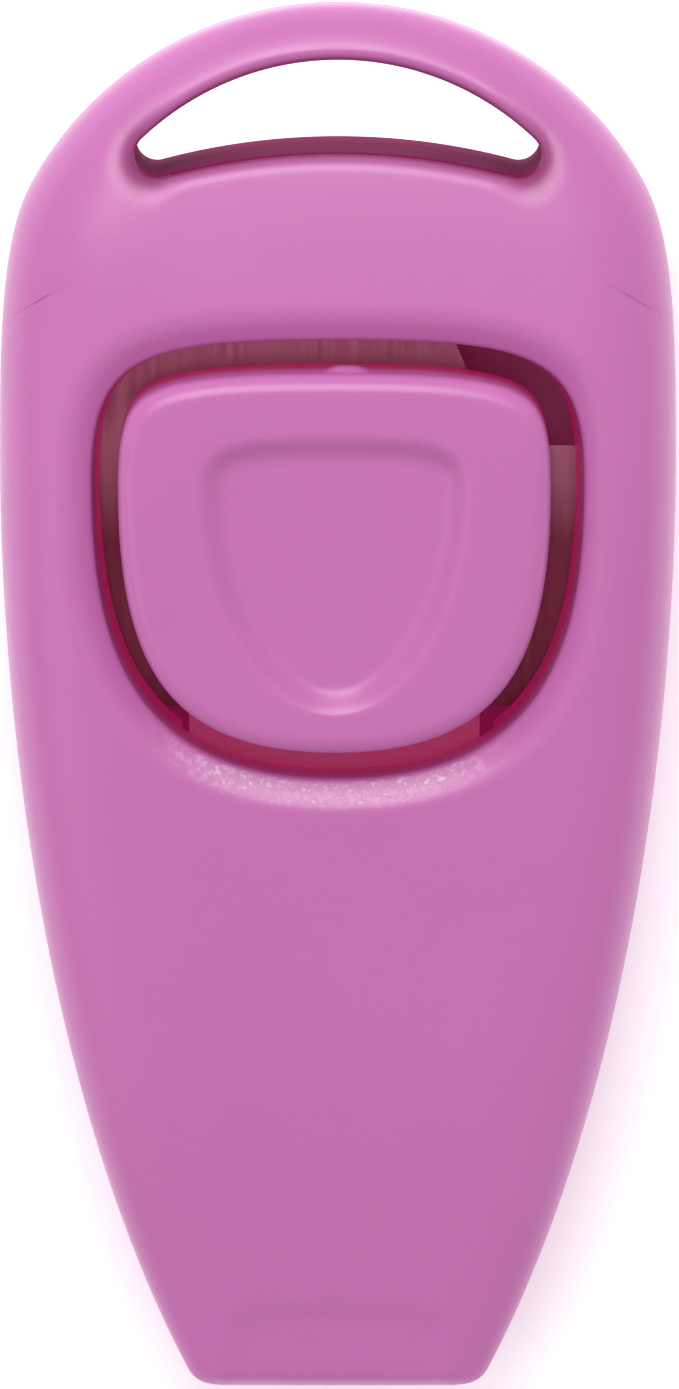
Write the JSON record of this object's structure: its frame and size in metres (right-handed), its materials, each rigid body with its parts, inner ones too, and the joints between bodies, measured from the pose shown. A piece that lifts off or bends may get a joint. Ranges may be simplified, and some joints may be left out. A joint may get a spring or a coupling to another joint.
{
  "type": "clicker trainer with whistle",
  "caption": "Hand-held moulded pet trainer with a thumb-pressed clicker button, a crescent lanyard slot and a whistle mouthpiece at its tapering end.",
  "frame": {"origin": "centre of the flat back, at the middle of the length and width", "axes": "+X across the width, +Y along the length towards the lanyard slot, +Z out of the face with the button"},
  "size_m": [0.0386, 0.08, 0.0145],
  "materials": {
    "case_abs": "orchid-pink moulded ABS, satin gloss",
    "button_abs": "orchid-pink moulded ABS, satin",
    "inner_abs": "natural ABS, as moulded",
    "spring_steel": "rolled spring steel strip",
    "zinc_steel": "zinc-plated steel"
  },
  "bodies": {
    "case": {"front_shell": "case_abs", "rear_shell": "case_abs", "click_plate": "spring_steel", "plate_clamp": "inner_abs", "whistle_block": "inner_abs", "case_screw_1": "zinc_steel", "case_screw_2": "zinc_steel", "case_screw_3": "zinc_steel", "case_screw_4": "zinc_steel", "clamp_screw_left": "zinc_steel", "clamp_screw_right": "zinc_steel"},
    "button": {"button": "button_abs"}
  },
  "joints": [
    {"name": "button_press", "type": "hinge", "parent": "case", "child": "button", "pos_m": [0, -0.00756, 0.0086], "axis": [-1, 0, 0], "range_deg": [0, 4], "stiffness_Nm_per_rad": 1, "deforming": ["click_plate"]}
  ]
}
